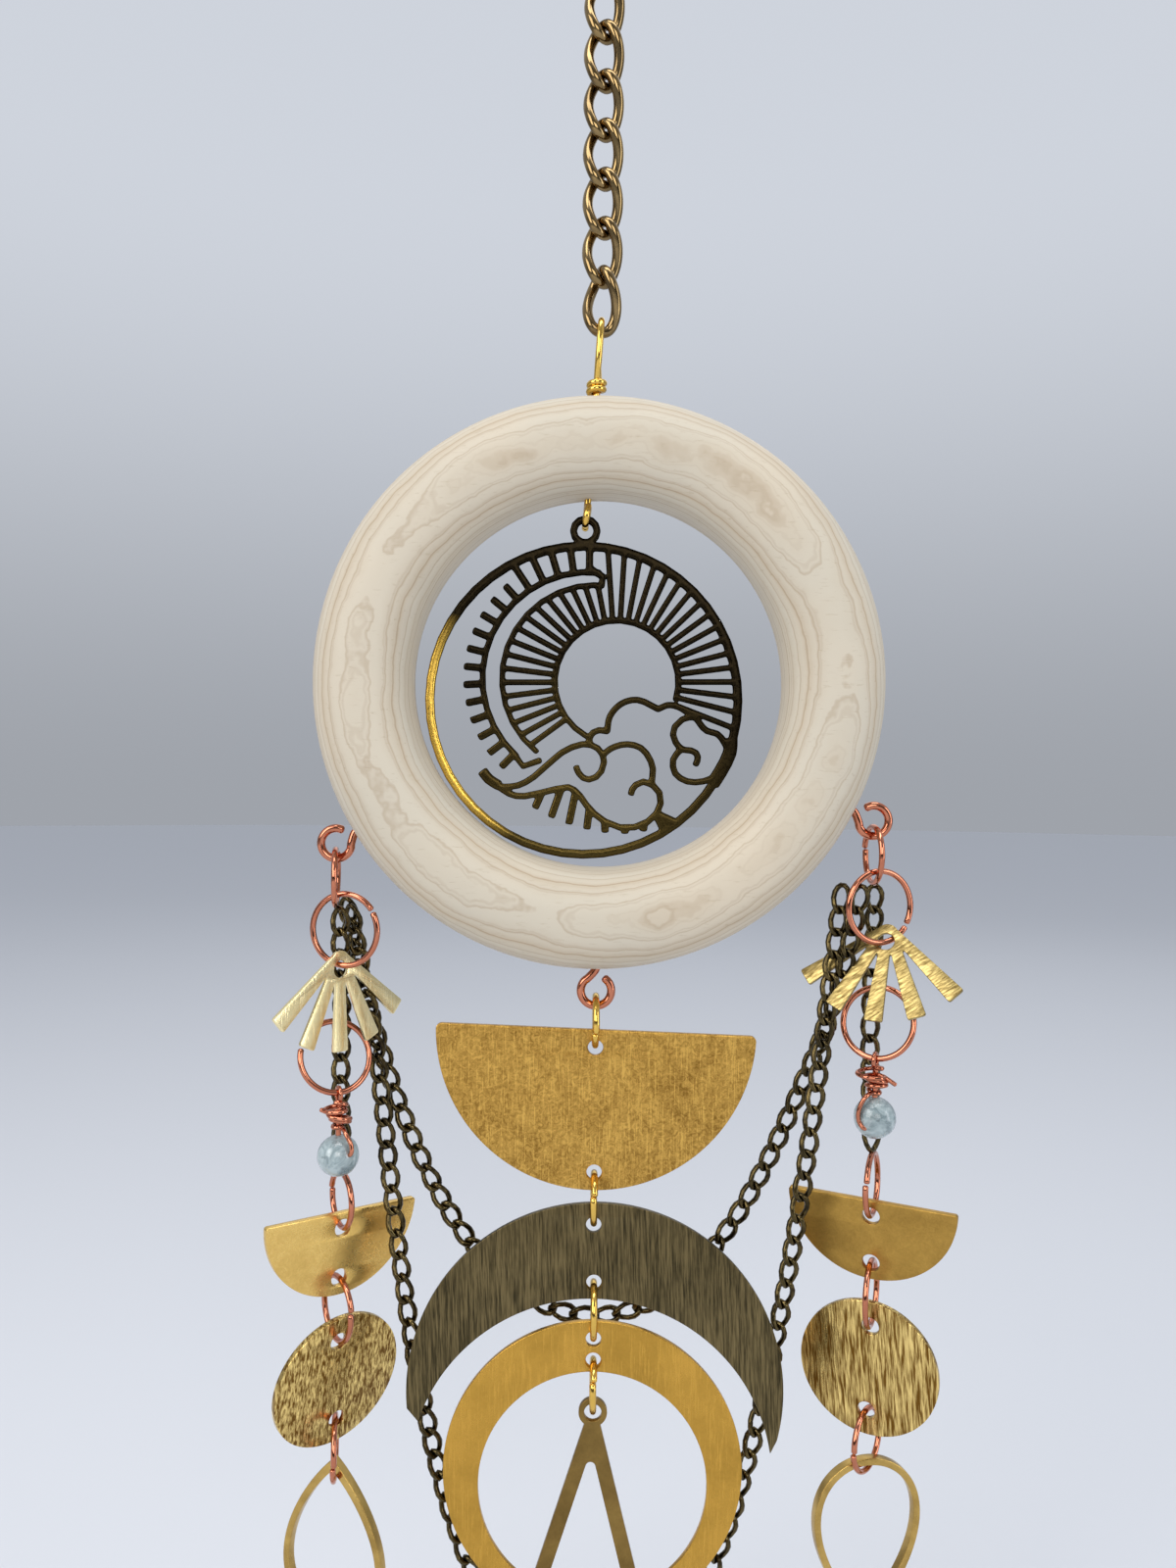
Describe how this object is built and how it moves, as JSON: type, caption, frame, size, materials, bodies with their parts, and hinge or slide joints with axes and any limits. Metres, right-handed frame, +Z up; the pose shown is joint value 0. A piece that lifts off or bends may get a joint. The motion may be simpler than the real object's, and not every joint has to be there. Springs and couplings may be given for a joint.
{
  "type": "hanging mobile sculpture",
  "caption": "Celestial hanging mobile: wood ring on a curb chain with a cut sun-and-moon disc, flat brass moons, crescent, ring and triangle, beaded side strings and swag chains.",
  "frame": {"origin": "inside top of the hanging ring, where a hook carries the mobile", "axes": "+Z up along the hanging line, the front of the discs faces -Y, +X to the viewer's right"},
  "size_m": [0.0839, 0.0199, 0.2274],
  "materials": {
    "pale_wood": "pale smooth turned wood, fine grain",
    "sheet_brass": "brushed raw sheet brass",
    "bright_brass": "bright brass wire",
    "dark_brass": "darkened brass with rubbed edges",
    "antique_brass": "antique brass",
    "fine_chain": "antique brass chain",
    "copper": "copper wire",
    "stone": "cloudy pale blue-grey stone"
  },
  "bodies": {
    "root": {"hanging_ring": "antique_brass", "suspension_link_1": "antique_brass", "suspension_link_2": "antique_brass", "suspension_link_3": "antique_brass", "suspension_link_4": "antique_brass", "suspension_link_5": "antique_brass", "suspension_link_6": "antique_brass", "suspension_link_7": "antique_brass", "suspension_link_8": "antique_brass", "wood_ring": "pale_wood", "left_screw_eye": "copper", "right_screw_eye": "copper", "bottom_screw_eye": "copper", "hanger_wire": "bright_brass", "sun_moon_disc": "dark_brass", "brass_jump_ring_1": "bright_brass", "brass_jump_ring_2": "bright_brass", "brass_jump_ring_3": "bright_brass", "brass_jump_ring_4": "bright_brass", "large_half_moon": "sheet_brass", "crescent": "sheet_brass", "offset_ring": "sheet_brass", "open_triangle": "sheet_brass", "left_upper_jump_ring": "copper", "left_large_ring": "copper", "left_fan": "sheet_brass", "left_lower_ring": "copper", "left_bead_wire": "copper", "left_bead": "stone", "left_jump_ring_a": "copper", "left_half_moon": "sheet_brass", "left_jump_ring_b": "copper", "left_disc": "sheet_brass", "left_jump_ring_c": "copper", "left_teardrop": "sheet_brass", "left_drop_chain": "fine_chain", "right_upper_jump_ring": "copper", "right_large_ring": "copper", "right_fan": "sheet_brass", "right_lower_ring": "copper", "right_bead_wire": "copper", "right_bead": "stone", "right_jump_ring_a": "copper", "right_half_moon": "sheet_brass", "right_jump_ring_b": "copper", "right_disc": "sheet_brass", "right_jump_ring_c": "copper", "right_teardrop": "sheet_brass", "right_drop_chain": "fine_chain", "inner_swag_chain": "fine_chain", "outer_swag_chain": "fine_chain"}
  },
  "joints": []
}
